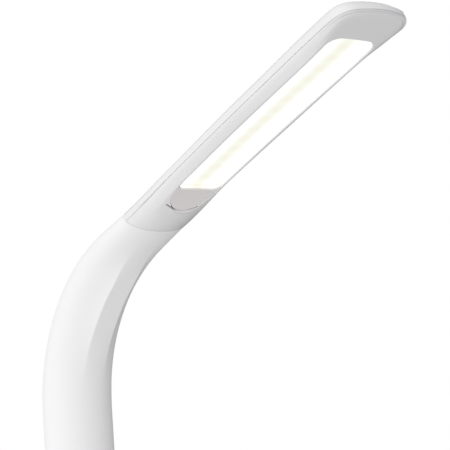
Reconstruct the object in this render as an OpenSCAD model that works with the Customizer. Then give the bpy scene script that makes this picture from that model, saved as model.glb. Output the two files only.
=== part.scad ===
// Desk lamp: a weighted round base, a flexible sleeved neck with three friction
// hinges inside, and a slim light head. Millimetres, +Z up, origin under the
// middle of the base, +X towards the light head.

/* [Base] */
// Diameter of the base
base_d = 180; // [160:1:220]
// Height of the base's flat top above the table
base_h = 24; // [22:0.5:30]
// Width of the rounded rim around the base's flat top
base_round = 15; // [8:0.5:18]
// Wall thickness of the base cover
base_wall = 2.4; // [1.8:0.1:3]
// Thickness of the anti-slip pad
pad_t = 1.6; // [1:0.1:2.5]
// Thickness of the bottom plate
plate_t = 2.4; // [2:0.1:3]
// How far the iron weight's edge lies inside the base's rim
weight_edge = 20; // [18:1:24]
// Room between the iron weight and the base's flat top
weight_room = 13; // [12.8:0.1:14]
// Thickness of the neck foot's flange
flange_t = 3.6; // [3:0.1:4]

/* [Neck] */
// Distance of the neck's foot in front of the base's back rim
foot_to_rim = 42; // [40:1:46]
// Length of the straight lower stretch of the neck
neck_straight = 113.4; // [100:0.1:130]
// Lean of the straight lower stretch, backwards from upright
neck_lean = 5.6; // [2:0.1:8]
// Radius of the bend, on the neck's centre line
bend_r = 139; // [125:1:160]
// Angle that the bend turns through
bend_deg = 64.9; // [55:0.1:75]
// Length of the straight stretch between the bend and the seam
neck_top = 26.3; // [22:0.1:32]
// Half width of the neck and of the head, from side to side
half_w = 28.9; // [27:0.1:31]
// Half thickness of the neck at its foot, from front to back
half_t_foot = 23.7; // [22:0.1:26]
// Half thickness of the neck at the seam
half_t_seam = 13.7; // [13:0.1:15]
// Distance along the neck at which it starts to taper
taper_at = 127; // [115:1:140]
// Wall thickness of the sleeve
sleeve_wall = 3.5; // [2.5:0.1:4]
// Angle of the seam's plane, from level
seam_tilt = 11; // [5:1:20]
// Height of the collar around the neck's foot
collar_h = 8; // [6:0.5:12]
// Wall thickness of the collar around the neck's foot
collar_wall = 2.6; // [2:0.1:4]

/* [Hinges] */
// Distance of the low hinge along the neck
hinge_low_at = 81; // [76:1:86]
// Distance of the middle hinge along the neck
hinge_mid_at = 177; // [172:1:182]
// Distance of the top hinge along the neck
hinge_top_at = 247; // [244:1:250]
// Diameter of the hinge pins
pin_d = 6; // [5:0.5:7]
// Radius of the ears and tongues around the pins
knuckle_r = 7; // [6.5:0.1:7.5]
// Thickness of the tongue in the middle of a hinge
tongue_t = 8; // [6:0.5:9]
// Thickness of each ear of a hinge
ear_t = 4; // [3:0.1:5]
// Thickness of the friction washers
washer_t = 0.8; // [0.5:0.1:1.2]
// Thickness of the neck's links, from front to back
link_t = 12; // [10:0.5:12]
// Thickness of the formers that hold the sleeve's shape
former_t = 3; // [2:0.5:4]
// Diameter of the supply wire
wire_d = 3.2; // [2:0.1:3.6]

/* [Light head] */
// Distance from the seam's middle to the light panel
seam_to_lens = 60; // [58:1:64]
// Length of the light panel
panel_length = 180; // [160:1:200]
// Half width of the light panel's opening
lens_half_w = 20.3; // [19:0.1:21]
// Distance from the light panel to the head's tip
tip_l = 25; // [22:1:30]
// Height of the neck's centre line above the light panel's face
lens_drop = 4.9; // [4.5:0.1:5.5]
// Thickness of the light head
head_t = 14.2; // [14:0.1:16]
// Height of the parting line above the light panel's face
part_h = 6; // [5.5:0.1:6.5]
// Radius of the corners at the head's tip
tip_r = 14; // [10:1:20]
// Radius of the light panel's corners
lens_r = 6; // [4:0.5:8]
// Wall thickness of the head's shells
shell_t = 2; // [1.6:0.1:2.2]
// Depth of the light panel's opal sheet below the head's face
opal_depth = 4.4; // [4:0.1:4.6]
// Thickness of the opal diffuser
opal_t = 1.4; // [1:0.1:1.6]
// Length of the half-moon plate between the light panel and the neck
moon_l = 24; // [20:1:26]
// Slope of the half-moon plate against the light panel
moon_tilt = 10; // [8:0.5:12]
// Thickness of the half-moon plate
moon_t = 1.6; // [1.2:0.1:2]

/* [Lights] */
// Number of light-emitting diodes in each row
led_count = 14; // [8:1:16]
// Distance between neighbouring diodes in a row
led_pitch = 12; // [10:0.5:12]
// Distance between the two rows
led_row_gap = 20; // [14:1:22]
// Side of a square diode
led_size = 3.2; // [2:0.1:4]

/* [Controls] */
// Diameter of the power button
power_d = 16; // [12:0.5:18]
// Diameter of the two brightness buttons
dim_d = 12; // [9:0.5:14]
// Distance from the power button to each brightness button
button_pitch = 24; // [22:0.5:28]
// Distance of the buttons behind the base's front rim
button_to_rim = 32; // [30:1:36]
// How far a button stands out of the base's top
button_proud = 1.4; // [1.2:0.1:2]
// How far a button travels when it is pressed
button_travel = 1; // [0.6:0.1:1.2]
// Outer diameter of the power inlet's barrel
jack_d = 8; // [7:0.5:9]
// Diameter of the power inlet's opening
jack_bore = 5.6; // [5:0.1:6]

/* [Clearances] */
// Gap between a sleeve and what it meets, and between trims
seat_gap = 0.25; // [0.2:0.05:0.3]
// Radial clearance of a pin in its bore
pin_gap = 0.04; // [0.02:0.01:0.08]
// Clearance on each side of a friction washer
washer_gap = 0.05; // [0.03:0.01:0.1]
// Radial clearance of a button in its hole
button_gap = 0.35; // [0.3:0.05:0.5]

/* [Hidden] */
$fn = 64;

eps = 0.01;
far = 400;                          // larger than anything it cuts

// Heights in the base
plate_z = pad_t;
weight_z = plate_z + plate_t;
flange_z = base_h - weight_room;
weight_t = flange_z - weight_z;
cover_in = base_h - base_wall;      // underside of the cover's flat top
base_r = base_d / 2;
weight_r = base_r - weight_edge;
foot_x = foot_to_rim - base_r;
button_x = base_r - button_to_rim;

// Neck path: u is the distance along the centre line, from the foot upwards
bend_len = bend_r * bend_deg * PI / 180;
seam_at = neck_straight + bend_len + neck_top;
head_elev = 90 - bend_deg + neck_lean;
function bend_angle(u) =
    max(0, min(bend_deg, (u - neck_straight) / bend_r * 180 / PI)) - neck_lean;
function path_x(u) =
    foot_x - min(u, neck_straight) * sin(neck_lean)
    + bend_r * (cos(neck_lean) - cos(bend_angle(u)))
    + max(0, u - neck_straight - bend_len) * cos(head_elev);
function path_z(u) =
    base_h + min(u, neck_straight) * cos(neck_lean)
    + bend_r * (sin(bend_angle(u)) + sin(neck_lean))
    + max(0, u - neck_straight - bend_len) * sin(head_elev);
function path_pt(u) = [path_x(u), 0, path_z(u)];
taper = (half_t_foot - half_t_seam) / (seam_at - taper_at);
function half_t(u) = half_t_foot - max(0, u - taper_at) * taper;

// Stretches of the sleeve, and the sweep's steps
split_low = (hinge_low_at + hinge_mid_at) / 2;
split_mid = (hinge_mid_at + hinge_top_at) / 2;
sleeve_step = 8;
sleeve_sides = 40;

// Hinge sizes
shoulder = knuckle_r + 1.5;         // where a link widens, from the pin
fork_in = tongue_t / 2 + washer_t + 2 * washer_gap;
fork_out = fork_in + ear_t;
pin_head_t = 2.4;
pin_head_r = 5;
nut_r = 5;
nut_l = 3.2;
washer_r = knuckle_r - 0.6;
post_r = 8;
former_gap = 0.4;                   // between a former and the sleeve
former_off = 17;                    // nearest former, along the neck from a hinge
wire_y = fork_out - wire_d / 2 - 0.2;
wire_slot = wire_d + 0.6;

// Head frame: x along the head from the light panel's near end, z away from its face
head_len = panel_length + tip_l;
clip_l = 8;
clip_t = 1.2;
clip_h = 2.4;
board_t = 1.6;
spreader_t = 1;
led_t = 0.8;
spreader_top = head_t - shell_t - 0.3;
board_top = spreader_top - spreader_t;
bracket_t = 3;
bracket_half = 4;
bracket_z = lens_drop - bracket_t / 2;
bracket_screw_x = -34;
boss_y = 14;
m3_r = 1.5;
m3_head_r = 2.8;
m3_head_t = 1.8;
pilot_gap = 0.05;

// ---------------------------------------------------------------- helpers

// Ellipse outline of n points
function oval(rx, ry, n) =
    [for (i = [0 : n - 1]) [rx * cos(360 * i / n), ry * sin(360 * i / n)]];

function sgn_pow(v, p) = sign(v) * pow(abs(v), p);

// Closed solid through rings of points that all have the same count
module loft(rings) {
    n = len(rings[0]);
    m = len(rings);
    pts = [for (r = rings) each r];
    sides = [for (j = [0 : m - 2]) for (i = [0 : n - 1])
        [j * n + i, j * n + (i + 1) % n, (j + 1) * n + (i + 1) % n, (j + 1) * n + i]];
    tris = [for (q = sides) each [[q[2], q[1], q[0]], [q[3], q[2], q[0]]]];
    first = [for (i = [0 : n - 1]) i];
    last = [for (i = [n - 1 : -1 : 0]) (m - 1) * n + i];
    polyhedron(points = pts, faces = concat(tris, [first, last]), convexity = 6);
}

// Ring of the neck, square to its centre line
function neck_ring(u, rx, ry) =
    [for (p = oval(rx, ry, sleeve_sides))
        [path_x(u) + p[0] * cos(bend_angle(u)), p[1], path_z(u) - p[0] * sin(bend_angle(u))]];

module neck_solid(u0, u1, inset) {
    steps = ceil((u1 - u0) / sleeve_step);
    loft([for (k = [0 : steps])
        let (u = u0 + (u1 - u0) * k / steps)
        neck_ring(u, half_t(u) - inset, half_w - inset)]);
}

module at_path(u) {
    translate(path_pt(u)) rotate([0, bend_angle(u), 0]) children();
}

// Frame at the path point u, with z towards the path point v
module aim(u, v) {
    dx = path_x(v) - path_x(u);
    dz = path_z(v) - path_z(u);
    translate(path_pt(u)) rotate([0, atan2(dx, dz), 0]) children();
}

function chord(u, v) = norm(path_pt(v) - path_pt(u));

// Frame at the head: x along the head, z away from the light panel's face
module at_head() {
    translate(path_pt(seam_at))
        rotate([0, -head_elev, 0])
            translate([seam_to_lens, 0, -lens_drop])
                children();
}

// Half-space above the seam's plane
module above_seam(gap) {
    translate(path_pt(seam_at))
        rotate([0, seam_tilt, 0])
            translate([-far / 2, -far / 2, gap])
                cube([far, far, far]);
}

module along_y(r, h) {
    rotate([90, 0, 0]) cylinder(r = r, h = h, center = true);
}

// Pan-head screw, head on top at z = 0, shank downwards
module screw(shank_r, shank_l, head_r, head_t) {
    cylinder(r = head_r, h = head_t);
    translate([0, 0, -shank_l]) cylinder(r = shank_r, h = shank_l + eps);
}

// ---------------------------------------------------------------- base

plate_r = base_r - base_wall - 2.2;
boss_r = 4;
base_screw_r = plate_r - 9;
plate_hole_in = 12;
base_screw_a = [60, 120, 240, 300];
post_screw_r = 15;
post_screw_a = [0, 120, 240];
pilot_floor = 1;
post_screw_end = 1.5;
board_w = 62;
board_d = 36;
board_thick = 1.6;
cap_flange = 1;
switch_h = 1.9;
dome_wall = 0.5;
dome_play = 0.1;
dome_top = cover_in - cap_flange - 2 * seat_gap;
dome_z = dome_top - dome_wall - dome_play - button_travel;
board_z = dome_z - switch_h - board_thick;
standoff = [[-14, -12], [-14, 12], [14, -12], [14, 12]];
m2_r = 1.1;
button_spots = [[0, 0], [0, button_pitch], [0, -button_pitch]];
flange_r = 20;
cable_hole_r = post_r + wire_d + 2.4;
jack_l = 13;
jack_z = flange_z + 0.4 + jack_d / 2;

module rubber_pad() {
    color("dimgray") cylinder(r = plate_r - 3, h = pad_t);
}

module ring_of(r, angles) {
    for (a = angles) rotate([0, 0, a]) translate([r, 0, 0]) children();
}

module base_plate() {
    color("whitesmoke")
    difference() {
        translate([0, 0, plate_z]) cylinder(r = plate_r, h = plate_t);
        ring_of(base_screw_r, base_screw_a)
            translate([0, 0, plate_z - eps]) {
                cylinder(r = m3_r + 0.2, h = plate_t + 1);
                cylinder(r = m3_head_r + 0.2, h = m3_head_t + 0.1);
            }
        ring_of(weight_r - plate_hole_in, [0, 180])
            translate([0, 0, plate_z - eps]) cylinder(r = m3_r, h = plate_t + 1);
    }
}

module base_weight() {
    color("dimgray")
    difference() {
        translate([0, 0, weight_z]) cylinder(r = weight_r, h = weight_t);
        translate([foot_x, 0, 0])
            ring_of(post_screw_r, post_screw_a)
                translate([0, 0, weight_z + pilot_floor]) cylinder(r = m3_r + pilot_gap, h = weight_t);
    }
}

// Outline of the base's rim: a quarter of a superellipse
rim_p = 2.4;
rim_steps = 16;
function rim(inset) =
    [for (i = [0 : rim_steps])
        let (a = 90 * i / rim_steps)
        [base_r - base_round + (base_round - inset) * pow(cos(a), 2 / rim_p),
         plate_z + (base_h - inset - plate_z) * pow(sin(a), 2 / rim_p)]];

module base_cover() {
    color("white")
    difference() {
        union() {
            rotate_extrude($fn = 128)
                difference() {
                    polygon(concat([[0, plate_z]], rim(0), [[0, base_h]]));
                    polygon(concat([[0, plate_z - 1], [base_r - base_wall, plate_z - 1]],
                        rim(base_wall), [[0, cover_in]]));
                }
            ring_of(base_screw_r, base_screw_a)
                translate([0, 0, weight_z]) cylinder(r = boss_r, h = cover_in - weight_z + eps);
            translate([button_x, 0, 0])
                for (p = standoff)
                    translate([p[0], p[1], board_z + board_thick])
                        cylinder(r = 2.6, h = cover_in - board_z - board_thick + eps);
            jack_block();
        }
        ring_of(base_screw_r, base_screw_a)
            translate([0, 0, weight_z - eps]) cylinder(r = 1.25, h = 12);
        translate([button_x, 0, 0])
            for (p = standoff)
                translate([p[0], p[1], board_z]) cylinder(r = m2_r + pilot_gap, h = 5);
        translate([button_x, 0, cover_in - 1]) {
            cylinder(r = power_d / 2 + button_gap, h = base_wall + 2);
            for (s = [-1, 1])
                translate([0, s * button_pitch, 0])
                    cylinder(r = dim_d / 2 + button_gap, h = base_wall + 2);
        }
        translate([foot_x, 0, cover_in - 1]) cylinder(r = cable_hole_r, h = base_wall + 2);
        translate([-base_r - 1, 0, jack_z])
            rotate([0, 90, 0]) cylinder(r = jack_d / 2 + pin_gap, h = jack_l + 4);
    }
}

// Boss inside the rim that holds the power inlet
module jack_block() {
    intersection() {
        translate([-base_r + 1, -jack_d / 2 - 2.5, flange_z + 0.3])
            cube([jack_l - 3, jack_d + 5, cover_in - flange_z]);
        rotate_extrude($fn = 128)
            polygon(concat([[0, plate_z]], rim(0.4), [[0, base_h - 0.4]]));
    }
}

module base_screws() {
    color("silver")
    ring_of(base_screw_r, base_screw_a)
        translate([0, 0, plate_z + m3_head_t]) rotate([180, 0, 0])
            screw(1.2, 9, m3_head_r, m3_head_t - 0.1);
}

module control_board() {
    color("darkgreen")
    translate([button_x, 0, board_z])
    difference() {
        translate([-board_d / 2, -board_w / 2, 0]) cube([board_d, board_w, board_thick]);
        for (p = standoff)
            translate([p[0], p[1], -1]) cylinder(r = m2_r + 0.2, h = board_thick + 2);
    }
}

module board_components() {
    color("black")
    translate([button_x, 0, board_z - 2.6]) {
        translate([-16, -8, 0]) cube([9, 16, 2.6]);
        translate([-2, 10, 0.2]) cube([7, 7, 2.4]);
        translate([2, -20, 0]) cylinder(r = 3.6, h = 2.6);
        translate([6, -4, 0.6]) cube([6, 5, 2]);
    }
}

module tact_switches() {
    color("gray")
    translate([button_x, 0, board_z + board_thick])
    for (p = button_spots)
        translate([p[0] - 3, p[1] - 3, 0]) cube([6, 6, switch_h]);
}

module board_screws() {
    color("silver")
    translate([button_x, 0, board_z])
    for (p = standoff)
        translate([p[0], p[1], 0]) rotate([180, 0, 0]) screw(m2_r, 4.6, 2, 1.2);
}

// Silicone keypad: a thin sheet on the board with a dome under each button
sheet_t = 0.6;
module keypad() {
    color("lightgray")
    translate([button_x, 0, 0])
    for (p = button_spots)
        translate([p[0], p[1], dome_z])
            difference() {
                union() {
                    cylinder(r = 5.2, h = sheet_t);
                    cylinder(r = 3.4, h = dome_top - dome_z);
                }
                translate([0, 0, -eps])
                    cylinder(r = 2.2, h = button_travel + dome_play);
            }
}

// Button cap: a disc in the cover's hole with a wider flange under the cover
module button_cap(d) {
    translate([0, 0, cover_in - seat_gap - cap_flange]) cylinder(r = d / 2 + 1, h = cap_flange);
    translate([0, 0, cover_in - seat_gap - eps])
        cylinder(r = d / 2, h = base_wall + seat_gap + button_proud);
}

module power_button() {
    color("gainsboro") translate([button_x, 0, 0]) button_cap(power_d);
}

module brighter_button() {
    color("gainsboro") translate([button_x, button_pitch, 0]) button_cap(dim_d);
}

module dimmer_button() {
    color("gainsboro") translate([button_x, -button_pitch, 0]) button_cap(dim_d);
}

module dc_inlet() {
    color("black")
    translate([-base_r + 1.2, 0, jack_z]) rotate([0, 90, 0])
    difference() {
        cylinder(r = jack_d / 2, h = jack_l);
        difference() {
            translate([0, 0, -eps]) cylinder(r = jack_bore / 2, h = 9.5);
            cylinder(r = 1, h = 9);
        }
    }
}

// ---------------------------------------------------------------- neck

// Former: an oval plate that the sleeve rests on
module former(u) {
    at_path(u)
        linear_extrude(height = former_t, center = true)
            polygon(oval(half_t(u) - sleeve_wall - former_gap,
                half_w - sleeve_wall - former_gap, sleeve_sides));
}

// Fork of a hinge, in a frame whose origin is the pin and whose body is below it
module fork() {
    for (s = [-1, 1])
        translate([0, s * (fork_in + fork_out) / 2, 0]) {
            along_y(knuckle_r, ear_t);
            translate([-knuckle_r, -ear_t / 2, -shoulder]) cube([2 * knuckle_r, ear_t, shoulder]);
        }
}

// Tongue of a hinge, in a frame whose origin is the pin and whose body is above it
module tongue() {
    along_y(knuckle_r, tongue_t);
    translate([-knuckle_r, -tongue_t / 2, 0]) cube([2 * knuckle_r, tongue_t, shoulder + eps]);
}

module pin_bore() {
    along_y(pin_d / 2 + pin_gap, far);
}

module link_bar(l) {
    translate([-link_t / 2, -fork_out, shoulder])
        cube([link_t, 2 * fork_out, l - 2 * shoulder]);
}

module wire_groove(z0, z1) {
    translate([-wire_slot / 2, fork_out - wire_slot, z0])
        cube([wire_slot, wire_slot + 40, z1 - z0]);
}

module link(u, v) {
    l = chord(u, v);
    difference() {
        union() {
            aim(u, v) {
                tongue();
                link_bar(l);
                translate([0, 0, l]) fork();
            }
            former(u + former_off);
            former(v - former_off);
        }
        aim(u, v) {
            pin_bore();
            translate([0, 0, l]) pin_bore();
            wire_groove(shoulder - 1, l - shoulder + 1);
        }
    }
}

module link_wire(u, v) {
    aim(u, v)
        translate([0, wire_y, shoulder + 1])
            cylinder(d = wire_d, h = chord(u, v) - 2 * shoulder - 2);
}

module neck_post() {
    color("silver")
    difference() {
        union() {
            translate([foot_x, 0, flange_z]) cylinder(r = flange_r, h = flange_t);
            at_path(0) translate([0, 0, flange_z - base_h + 1])
                cylinder(r = post_r, h = base_h - flange_z + hinge_low_at - shoulder - 6);
            at_path(hinge_low_at) {
                fork();
                translate([-knuckle_r, -fork_out, -shoulder - 6]) cube([2 * knuckle_r, 2 * fork_out, 6]);
            }
            former(30);
            former(hinge_low_at - former_off - 3);
        }
        translate([foot_x, 0, 0])
            ring_of(post_screw_r, post_screw_a)
                translate([0, 0, flange_z - 1]) cylinder(r = m3_r + pilot_gap, h = flange_t + 2);
        at_path(hinge_low_at) pin_bore();
        at_path(0) translate([-wire_slot / 2, post_r, 4])
            cube([wire_slot, wire_slot, hinge_low_at - 8]);
    }
}

module post_screws() {
    color("dimgray")
    translate([foot_x, 0, flange_z + flange_t])
        ring_of(post_screw_r, post_screw_a)
            screw(m3_r, flange_t + weight_t - post_screw_end, m3_head_r, m3_head_t);
}

module wire_post() {
    start = flange_z + flange_t + m3_head_t + 2 - base_h;
    color("black")
    at_path(0)
        translate([0, post_r + wire_slot / 2, start])
            cylinder(d = wire_d, h = hinge_low_at - shoulder - 7 - start);
}

module neck_collar() {
    color("whitesmoke")
    difference() {
        at_path(0)
            translate([0, 0, -8])
                linear_extrude(height = collar_h + 8)
                    difference() {
                        polygon(oval(half_t_foot + seat_gap + collar_wall,
                            half_w + seat_gap + collar_wall, 72));
                        polygon(oval(half_t_foot + seat_gap, half_w + seat_gap, 72));
                    }
        translate([-far / 2, -far / 2, base_h - far]) cube([far, far, far]);
    }
}

module sleeve(u0, u1) {
    difference() {
        neck_solid(u0, u1, 0);
        neck_solid(u0 - 1, u1 + 1, sleeve_wall);
    }
}

module sleeve_lower() {
    color("white")
    difference() {
        sleeve(-4, split_low);
        translate([-far / 2, -far / 2, base_h + seat_gap - far]) cube([far, far, far]);
    }
}

module sleeve_mid() {
    color("white") sleeve(split_low + seat_gap, split_mid);
}

module sleeve_upper() {
    color("white")
    difference() {
        sleeve(split_mid + seat_gap, seam_at + 26);
        above_seam(0);
    }
}

module hinge_pin(u) {
    color("silver")
    at_path(u) {
        translate([0, -(fork_out + pin_head_t / 2), 0]) along_y(pin_head_r, pin_head_t);
        translate([0, (nut_l + 1) / 2, 0]) along_y(pin_d / 2, 2 * fork_out + nut_l + 1);
    }
}
module hinge_nut(u) {
    color("silver")
    at_path(u)
        translate([0, fork_out + nut_l / 2, 0]) rotate([90, 0, 0])
            difference() {
                cylinder(r = nut_r, h = nut_l, center = true, $fn = 6);
                cylinder(r = pin_d / 2 + pin_gap, h = nut_l + 1, center = true);
            }
}

module washers(u) {
    color("goldenrod")
    at_path(u)
    for (s = [-1, 1])
        translate([0, s * (tongue_t / 2 + washer_gap + washer_t / 2), 0])
            rotate([90, 0, 0])
                difference() {
                    cylinder(r = washer_r, h = washer_t, center = true);
                    cylinder(r = pin_d / 2 + pin_gap, h = washer_t + 1, center = true);
                }
}

module hinge_pin_low() { hinge_pin(hinge_low_at); }
module hinge_nut_low() { hinge_nut(hinge_low_at); }
module washers_low() { washers(hinge_low_at); }
module hinge_pin_mid() { hinge_pin(hinge_mid_at); }
module hinge_nut_mid() { hinge_nut(hinge_mid_at); }
module washers_mid() { washers(hinge_mid_at); }
module hinge_pin_top() { hinge_pin(hinge_top_at); }
module hinge_nut_top() { hinge_nut(hinge_top_at); }
module washers_top() { washers(hinge_top_at); }

module link_lower() { color("silver") link(hinge_low_at, hinge_mid_at); }
module wire_lower() { color("black") link_wire(hinge_low_at, hinge_mid_at); }
module link_upper() { color("silver") link(hinge_mid_at, hinge_top_at); }
module wire_upper() { color("black") link_wire(hinge_mid_at, hinge_top_at); }

// ---------------------------------------------------------------- light head

// Section of the head at the distance x from the light panel: an oval at the seam
// that turns into a slab with rounded edges
blend_from = -seam_to_lens;
blend_to = 6;
head_sides = 44;
function blend_k(x) =
    let (k = max(0, min(1, (x - blend_from) / (blend_to - blend_from)))) k * k * (3 - 2 * k);
function mix(a, b, k) = a + (b - a) * k;
function low_z(x) = mix(lens_drop - half_t_seam, 0, blend_k(x));
function high_z(x) = mix(lens_drop + half_t_seam, head_t, blend_k(x));
function side_y(x) =
    let (d = max(0, x - (head_len - tip_r)))
    half_w - tip_r + sqrt(max(0, tip_r * tip_r - d * d));
function head_ring(x, inset) =
    let (zl = low_z(x) + inset, zh = high_z(x) - inset, w = side_y(x + inset) - inset,
        p = 2 / mix(2, 5.5, blend_k(x)))
    [for (i = [0 : head_sides - 1])
        let (a = 360 * i / head_sides)
        [x, w * sgn_pow(cos(a), p), (zl + zh) / 2 + (zh - zl) / 2 * sgn_pow(sin(a), p)]];
collar_steps = 7;
body_x = concat([blend_from - 44, blend_from - 20],
    [for (k = [0 : collar_steps]) blend_from + (blend_to - blend_from) * k / collar_steps]);
tip_x = [for (k = [0 : 6]) head_len - tip_r + tip_r * sin(90 * k / 6)];

module head_solid(inset) {
    loft([for (x = concat(body_x, tip_x)) head_ring(x > blend_to ? x - inset : x, inset)]);
}

module head_shell() {
    difference() {
        head_solid(0);
        head_solid(shell_t);
    }
}

module below_part(z) {
    translate([-far / 2, -far / 2, z - far]) cube([far, far, far]);
}

// Outline of the light panel's opening
module lens_outline(grow) {
    hull()
    for (x = [lens_r, panel_length - lens_r])
        for (y = [-1, 1])
            translate([x, y * (lens_half_w - lens_r)]) circle(r = lens_r + grow, $fn = 32);
}

// Outline of the half-moon plate
module moon_outline(grow) {
    polygon(concat([[lens_r - 1 + grow, lens_half_w + grow], [lens_r - 1 + grow, -lens_half_w - grow]],
        [for (i = [0 : 24]) let (a = 7.5 * i)
            [-(moon_l + grow) * sin(a), -(lens_half_w + grow) * cos(a)]]));
}

module moon_frame() {
    rotate([0, -moon_tilt, 0]) children();
}

clip_x = [12, 50, 88, 126, 164];
clip_y = half_w - shell_t - 0.2;
module head_lower_housing() {
    color("lavender")
    difference() {
        union() {
            at_head()
            difference() {
                intersection() {
                    head_shell();
                    below_part(part_h);
                }
                translate([0, 0, -far / 2]) linear_extrude(height = far) lens_outline(seat_gap);
                moon_frame() translate([0, 0, -10]) linear_extrude(height = 20)
                    moon_outline(seat_gap);
            }
            at_head()
            for (x = clip_x)
                for (s = [-1, 1])
                    translate([x - clip_l / 2, s * clip_y - (s > 0 ? clip_t : 0), part_h - 2])
                        cube([clip_l, clip_t, clip_h + 2]);
            at_head()
            for (s = [-1, 1])
                translate([bracket_screw_x, s * boss_y, low_z(bracket_screw_x) + 0.8])
                    cylinder(r = 3.2, h = bracket_z - low_z(bracket_screw_x) - 0.8);
        }
        at_head()
        for (s = [-1, 1])
            translate([bracket_screw_x, s * boss_y, bracket_z - 7])
                cylinder(r = m3_r + pilot_gap - 0.25, h = 8);
        below_seam();
    }
}

// Half-space below the seam's plane
module below_seam() {
    translate(path_pt(seam_at))
        rotate([0, seam_tilt, 0])
            translate([-far / 2, -far / 2, seat_gap - far])
                cube([far, far, far]);
}

module head_top_cover() {
    color("white")
    difference() {
        union() {
            at_head()
            difference() {
                head_shell();
                below_part(part_h);
            }
            at_head()
            for (x = led_screw_x)
                translate([x, 0, spreader_top])
                    cylinder(r = 2.6, h = head_t - 1 - spreader_top);
        }
        at_head()
        for (x = led_screw_x)
            translate([x, 0, spreader_top - eps])
                cylinder(r = 0.9 + pilot_gap, h = 1.2);
        below_seam();
    }
}

module half_moon_plate() {
    color("lightgray")
    at_head()
    difference() {
        moon_frame() linear_extrude(height = moon_t) moon_outline(0);
        translate([0, 0, -far / 2]) linear_extrude(height = far) lens_outline(seat_gap);
    }
}

flange_w = 2.2;
module diffuser() {
    color("ivory")
    at_head()
    difference() {
        union() {
            translate([0, 0, 0.3]) linear_extrude(height = opal_depth + opal_t - 0.3) lens_outline(0);
            translate([0, 0, shell_t + 0.6]) linear_extrude(height = 1)
                intersection() {
                    lens_outline(flange_w);
                    translate([3, -half_w]) square([panel_length + 10, 2 * half_w]);
                }
        }
        translate([0, 0, -1]) linear_extrude(height = opal_depth + 1) lens_outline(-opal_t);
    }
}

board_end = 6;
board_edge = 6;
board_half_w = led_row_gap / 2 + board_edge;
led_screw_end = 15;
led_screw_x = [led_screw_end, panel_length - led_screw_end];
module led_board() {
    color("white")
    at_head()
    difference() {
        translate([board_end, -board_half_w, board_top - board_t])
            cube([panel_length - 2 * board_end, 2 * board_half_w, board_t]);
        led_screw_holes();
    }
}

module led_screw_holes() {
    for (x = led_screw_x) translate([x, 0, 0]) cylinder(r = 1.1, h = head_t);
}

led_x0 = (panel_length - (led_count - 1) * led_pitch) / 2;
module leds() {
    color("khaki")
    at_head()
    for (i = [0 : led_count - 1])
        for (s = [-1, 1])
            translate([led_x0 + i * led_pitch - led_size / 2, s * led_row_gap / 2 - led_size / 2,
                board_top - board_t - led_t])
                cube([led_size, led_size, led_t]);
}

module heat_spreader() {
    color("silver")
    at_head()
    difference() {
        translate([board_end - 2, -board_half_w - 3, board_top])
            cube([panel_length - 2 * board_end + 4, 2 * board_half_w + 6, spreader_t]);
        led_screw_holes();
    }
}

module led_screws() {
    color("dimgray")
    at_head()
    for (x = led_screw_x)
        translate([x, 0, board_top - board_t]) rotate([180, 0, 0])
            screw(0.9, board_t + spreader_t + 1, 1.9, 1);
}

module head_bracket() {
    color("silver")
    difference() {
        union() {
            aim(hinge_top_at, seam_at) {
                tongue();
                translate([-bracket_half, -fork_out, shoulder])
                    cube([2 * bracket_half, 2 * fork_out, chord(hinge_top_at, seam_at) - shoulder]);
            }
            at_head()
                translate([-seam_to_lens - 2, -boss_y - 4, bracket_z])
                    cube([seam_to_lens - 8, 2 * boss_y + 8, bracket_t]);
            former(hinge_top_at + former_off);
        }
        aim(hinge_top_at, seam_at) {
            pin_bore();
            wire_groove(shoulder - 1, chord(hinge_top_at, seam_at) + 20);
        }
        at_head()
        for (s = [-1, 1])
            translate([bracket_screw_x, s * boss_y, 0]) cylinder(r = m3_r, h = 12);
    }
}
module bracket_screws() {
    color("dimgray")
    at_head()
    for (s = [-1, 1])
        translate([bracket_screw_x, s * boss_y, bracket_z + bracket_t])
            screw(m3_r - 0.25, bracket_t + 5, m3_head_r, m3_head_t);
}

module wire_head() {
    color("black")
    aim(hinge_top_at, seam_at)
        translate([0, wire_y, shoulder + 1])
            cylinder(d = wire_d, h = chord(hinge_top_at, seam_at) + 12 - shoulder);
}

rubber_pad();
base_plate();
base_weight();
base_cover();
base_screws();
control_board();
board_components();
tact_switches();
board_screws();
keypad();
power_button();
brighter_button();
dimmer_button();
dc_inlet();
neck_post();
post_screws();
neck_collar();
sleeve_lower();
hinge_pin_low();
hinge_nut_low();
washers_low();
wire_post();
link_lower();
sleeve_mid();
hinge_pin_mid();
hinge_nut_mid();
washers_mid();
wire_lower();
link_upper();
sleeve_upper();
hinge_pin_top();
hinge_nut_top();
washers_top();
wire_upper();
head_bracket();
bracket_screws();
head_lower_housing();
head_top_cover();
half_moon_plate();
diffuser();
led_board();
leds();
heat_spreader();
led_screws();
wire_head();
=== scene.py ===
"""Looks for the desk lamp: sleeve, light head, light panel and finishes, in a plain soft studio."""

import math

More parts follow.
